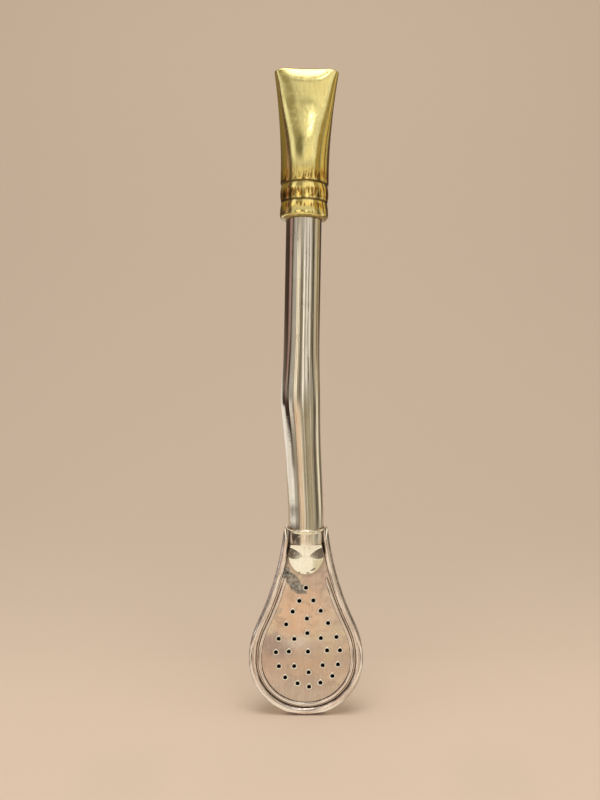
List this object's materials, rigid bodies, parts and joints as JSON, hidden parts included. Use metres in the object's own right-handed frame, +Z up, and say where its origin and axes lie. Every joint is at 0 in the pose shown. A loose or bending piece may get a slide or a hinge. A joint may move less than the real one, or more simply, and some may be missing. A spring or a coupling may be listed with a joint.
{
  "type": "bombilla",
  "caption": "Metal mate straw: bent nickel-silver tube with a flattened brass mouthpiece above and a hollow drop-shaped strainer spoon with drilled holes below.",
  "frame": {"origin": "lowest point of the spoon, on the front face of its plate and below the axis of the lower stem", "axes": "+Z up along the lower stem, +X to the right as seen from the front, +Y from the front to the back of the spoon"},
  "size_m": [0.0328, 0.0232, 0.1837],
  "materials": {
    "spoon_plate_metal": "worn nickel silver with warm tarnish",
    "spoon_back_metal": "worn nickel silver",
    "rim_metal": "rubbed bright nickel silver",
    "neck_metal": "polished nickel silver",
    "stem_metal": "polished nickel silver with fine scratches",
    "sleeve_metal": "plain drawn brass",
    "mouthpiece_brass": "polished brass with fine scratches"
  },
  "bodies": {
    "spoon": {"spoon_front_plate": "spoon_plate_metal", "spoon_back_shell": "spoon_back_metal", "outer_rim": "rim_metal", "inner_rim": "rim_metal", "neck_socket": "neck_metal", "nose_cap": "neck_metal", "neck_lip": "neck_metal"},
    "stem": {"stem_tube": "stem_metal"},
    "mouthpiece": {"mouthpiece_sleeve": "sleeve_metal", "mouthpiece_collar": "mouthpiece_brass", "mouthpiece_band": "mouthpiece_brass", "mouthpiece_shell": "mouthpiece_brass"}
  },
  "joints": [
    {"name": "stem_pull", "type": "slide", "parent": "spoon", "child": "stem", "axis": [0, 0, 1], "range_m": [0, 0.01]},
    {"name": "mouthpiece_pull", "type": "slide", "parent": "stem", "child": "mouthpiece", "axis": [0.0183, 0.1562, 0.9876], "range_m": [0, 0.016]}
  ]
}
